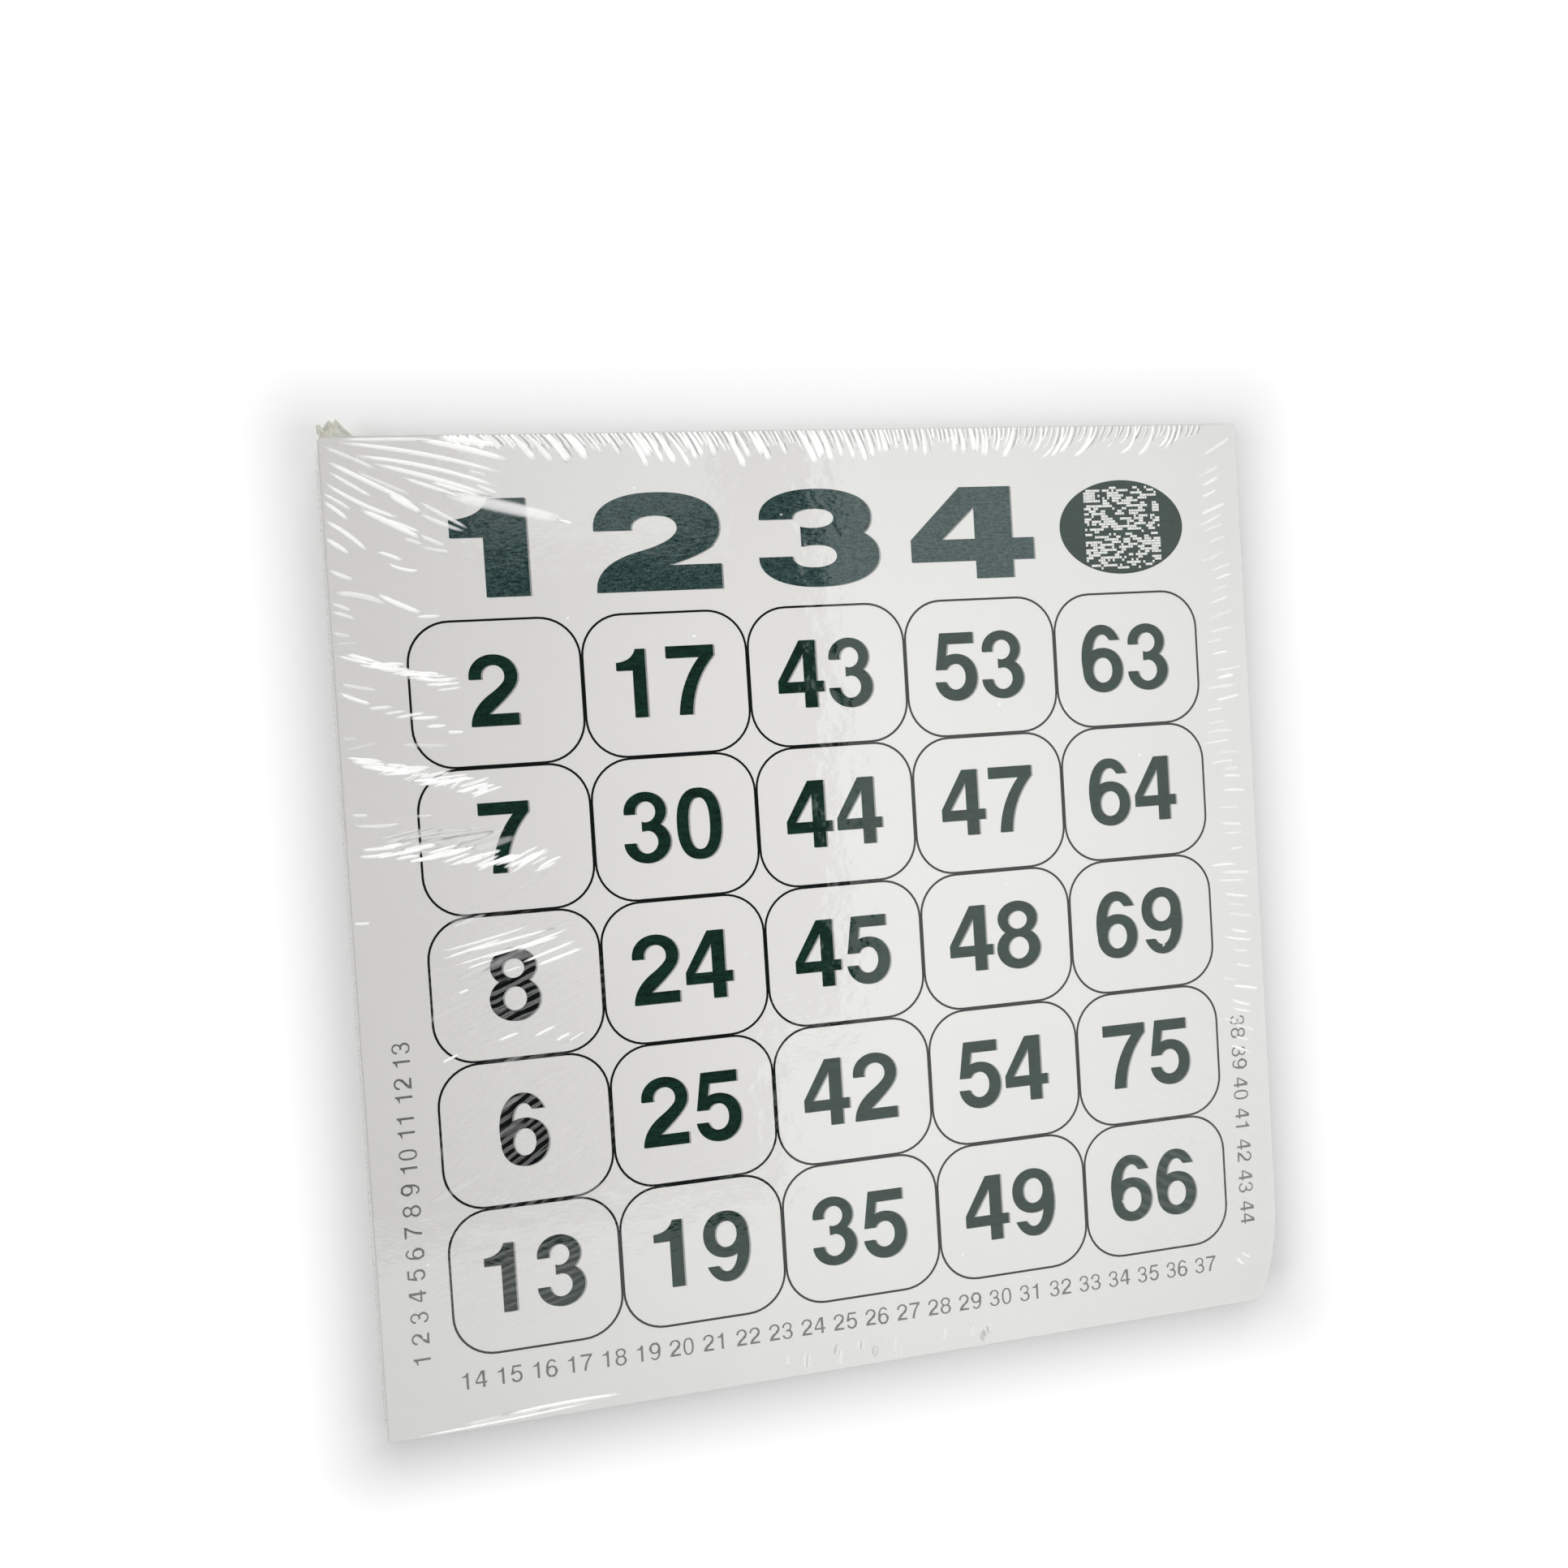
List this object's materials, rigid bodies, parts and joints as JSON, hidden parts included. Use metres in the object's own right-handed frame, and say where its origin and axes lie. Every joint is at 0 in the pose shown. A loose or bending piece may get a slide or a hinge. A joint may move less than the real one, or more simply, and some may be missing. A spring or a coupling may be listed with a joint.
{
  "type": "bingo card",
  "caption": "Sealed flat pack of square white bingo cards in clear shrink film, the front card printed with a number grid; lies flat or stacks.",
  "frame": {"origin": "middle of the card outline on the film's back, the face that the pack rests on", "axes": "+X to the reader's right, +Y towards the head of the card, +Z out of the printed face"},
  "size_m": [0.1491, 0.1522, 0.0079],
  "materials": {
    "card_board": "smooth uncoated white board, printed in green-black on the front card",
    "clear_film": "clear glossy shrink film with fine wrinkles",
    "weld_film": "welded and crumpled film, hazy"
  },
  "bodies": {
    "root": {"card_01": "card_board", "card_02": "card_board", "card_03": "card_board", "card_04": "card_board", "card_05": "card_board", "card_06": "card_board", "card_07": "card_board", "card_08": "card_board", "card_09": "card_board", "card_10": "card_board", "card_11": "card_board", "card_12": "card_board", "card_13": "card_board", "card_14": "card_board", "card_15": "card_board", "card_16": "card_board", "card_17": "card_board", "card_18": "card_board", "card_19": "card_board", "card_20": "card_board", "card_21": "card_board", "card_22": "card_board", "card_23": "card_board", "card_24": "card_board", "card_25": "card_board", "film_front": "clear_film", "film_back": "clear_film", "weld_head": "weld_film", "weld_left": "weld_film", "weld_foot": "weld_film", "corner_ear": "weld_film"}
  },
  "joints": []
}
